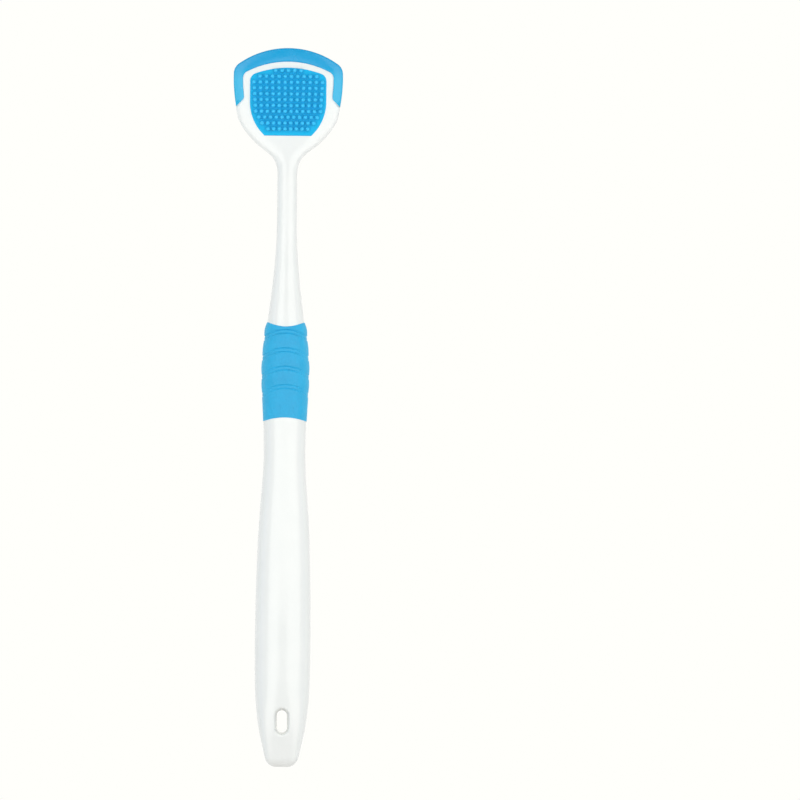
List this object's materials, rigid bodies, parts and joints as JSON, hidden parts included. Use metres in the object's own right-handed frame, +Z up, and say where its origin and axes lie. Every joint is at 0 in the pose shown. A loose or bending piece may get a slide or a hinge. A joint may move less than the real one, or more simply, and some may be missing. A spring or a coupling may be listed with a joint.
{
  "type": "tongue scraper",
  "caption": "Hand-held tongue scraper: slim swelling handle with a hang slot and ribbed soft grip, and a spade-shaped head with a nubbed cleaning pad and a soft arched scraping lip.",
  "frame": {"origin": "centre of the underside of the bounding box: on the table, halfway along the tool and on its middle plane", "axes": "+X across the head, +Y along the tool towards the scraping lip, +Z up, the way the nubs point"},
  "size_m": [0.0288, 0.19, 0.011],
  "materials": {
    "white_polypropylene": "smooth moulded, glossy",
    "blue_tpr": "moulded, satin"
  },
  "bodies": {
    "root": {"handle": "white_polypropylene", "scraper_lip": "blue_tpr", "nub_pad": "blue_tpr", "grip_sleeve": "blue_tpr"}
  },
  "joints": []
}
